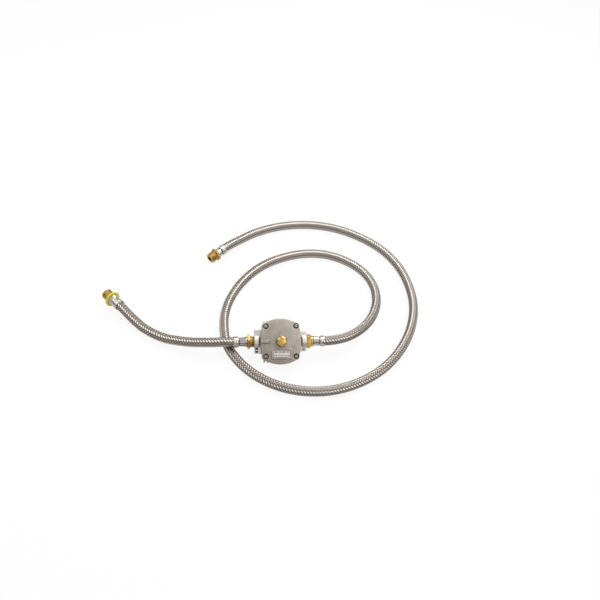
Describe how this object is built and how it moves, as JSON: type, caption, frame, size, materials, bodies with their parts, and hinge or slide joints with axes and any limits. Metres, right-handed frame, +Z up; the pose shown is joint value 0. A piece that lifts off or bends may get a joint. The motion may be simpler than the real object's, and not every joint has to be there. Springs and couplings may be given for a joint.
{
  "type": "gas regulator with two hoses",
  "caption": "Low-pressure gas regulator with a capped spring tower, a short braided supply hose with a yellow ring and a long braided appliance hose, each ending in a male pipe thread.",
  "frame": {"origin": "on the standing surface, under the middle of the regulator without its hoses", "axes": "+X along the ports from the inlet to the outlet, +Z up, and the regulator's cap faces up and towards -Y"},
  "size_m": [0.6194, 0.481, 0.0712],
  "materials": {
    "cast_body": "bare die-cast aluminium, satin, light grey",
    "cast_cover": "bare die-cast aluminium, fine sand texture, warm grey",
    "label_metal": "bare plate with two rows of plain dots",
    "screw_steel": "yellow-passivated screw steel",
    "plain_steel": "plain zinc-plated steel",
    "bright_steel": "bright nickel-plated steel",
    "brass": "turned brass",
    "black_rubber": "matt nitrile rubber",
    "braid": "stainless wire braid over a rubber tube",
    "yellow_plastic": "moulded yellow nylon"
  },
  "bodies": {
    "casing": {"regulator_body": "cast_body", "regulator_cover": "cast_cover", "cover_screws": "screw_steel", "label_plate": "label_metal", "vent_screen": "plain_steel", "diaphragm": "black_rubber", "stem_guide": "plain_steel", "valve_seat": "brass", "bottom_plug": "brass", "bottom_plug_seal": "black_rubber", "inlet_strainer": "plain_steel", "main_spring": "plain_steel", "inlet_fitting": "brass", "inlet_nipple": "bright_steel", "inlet_ferrule": "bright_steel", "short_hose": "braid", "supply_ferrule": "bright_steel", "supply_nipple": "bright_steel", "supply_ring": "yellow_plastic", "supply_fitting": "brass", "outlet_adapter": "brass", "outlet_nipple": "bright_steel", "outlet_ferrule": "bright_steel", "long_hose": "braid", "appliance_ferrule": "bright_steel", "appliance_nipple": "bright_steel", "appliance_fitting": "brass"},
    "valve": {"diaphragm_plates": "plain_steel", "valve_stem": "plain_steel", "stem_nut": "plain_steel", "valve_disc": "black_rubber"},
    "adjuster_carrier": {"spring_seat": "plain_steel"},
    "adjuster": {"adjusting_screw": "brass"},
    "cap_carrier": {"cap_gasket": "black_rubber"},
    "cap": {"seal_cap": "brass"},
    "swivel_nut": {"outlet_nut": "brass"}
  },
  "joints": [
    {"name": "valve_lift", "type": "slide", "parent": "casing", "child": "valve", "axis": [0, -0.6561, 0.7547], "range_m": [0, 0.002], "stiffness_N_per_m": 600, "springref_m": -0.005, "deforming": ["main_spring", "diaphragm"]},
    {"name": "adjuster_travel", "type": "slide", "parent": "casing", "child": "adjuster_carrier", "axis": [0, -0.6561, 0.7547], "range_m": [-0.003, 0.001], "deforming": ["main_spring"]},
    {"name": "adjuster_turn", "type": "hinge", "parent": "adjuster_carrier", "child": "adjuster", "pos_m": [-0.0063, 0.0069, 0.02755], "axis": [0, -0.6561, 0.7547], "range_deg": [-722, 242]},
    {"name": "cap_lift", "type": "slide", "parent": "casing", "child": "cap_carrier", "axis": [0, -0.6561, 0.7547], "range_m": [0, 0.006]},
    {"name": "cap_turn", "type": "hinge", "parent": "cap_carrier", "child": "cap", "pos_m": [-0.0063, 0.0069, 0.02755], "axis": [0, -0.6561, 0.7547], "range_deg": [0, 1442]},
    {"name": "outlet_nut_turn", "type": "hinge", "parent": "casing", "child": "swivel_nut", "pos_m": [0.0475, 0.0069, 0.02755], "axis": [1, 0, 0], "continuous": true}
  ],
  "couplings": [
    {"joint": "adjuster_turn", "follows": "adjuster_travel", "rad_per_m": 4188.8},
    {"joint": "cap_turn", "follows": "cap_lift", "rad_per_m": 4188.8}
  ]
}
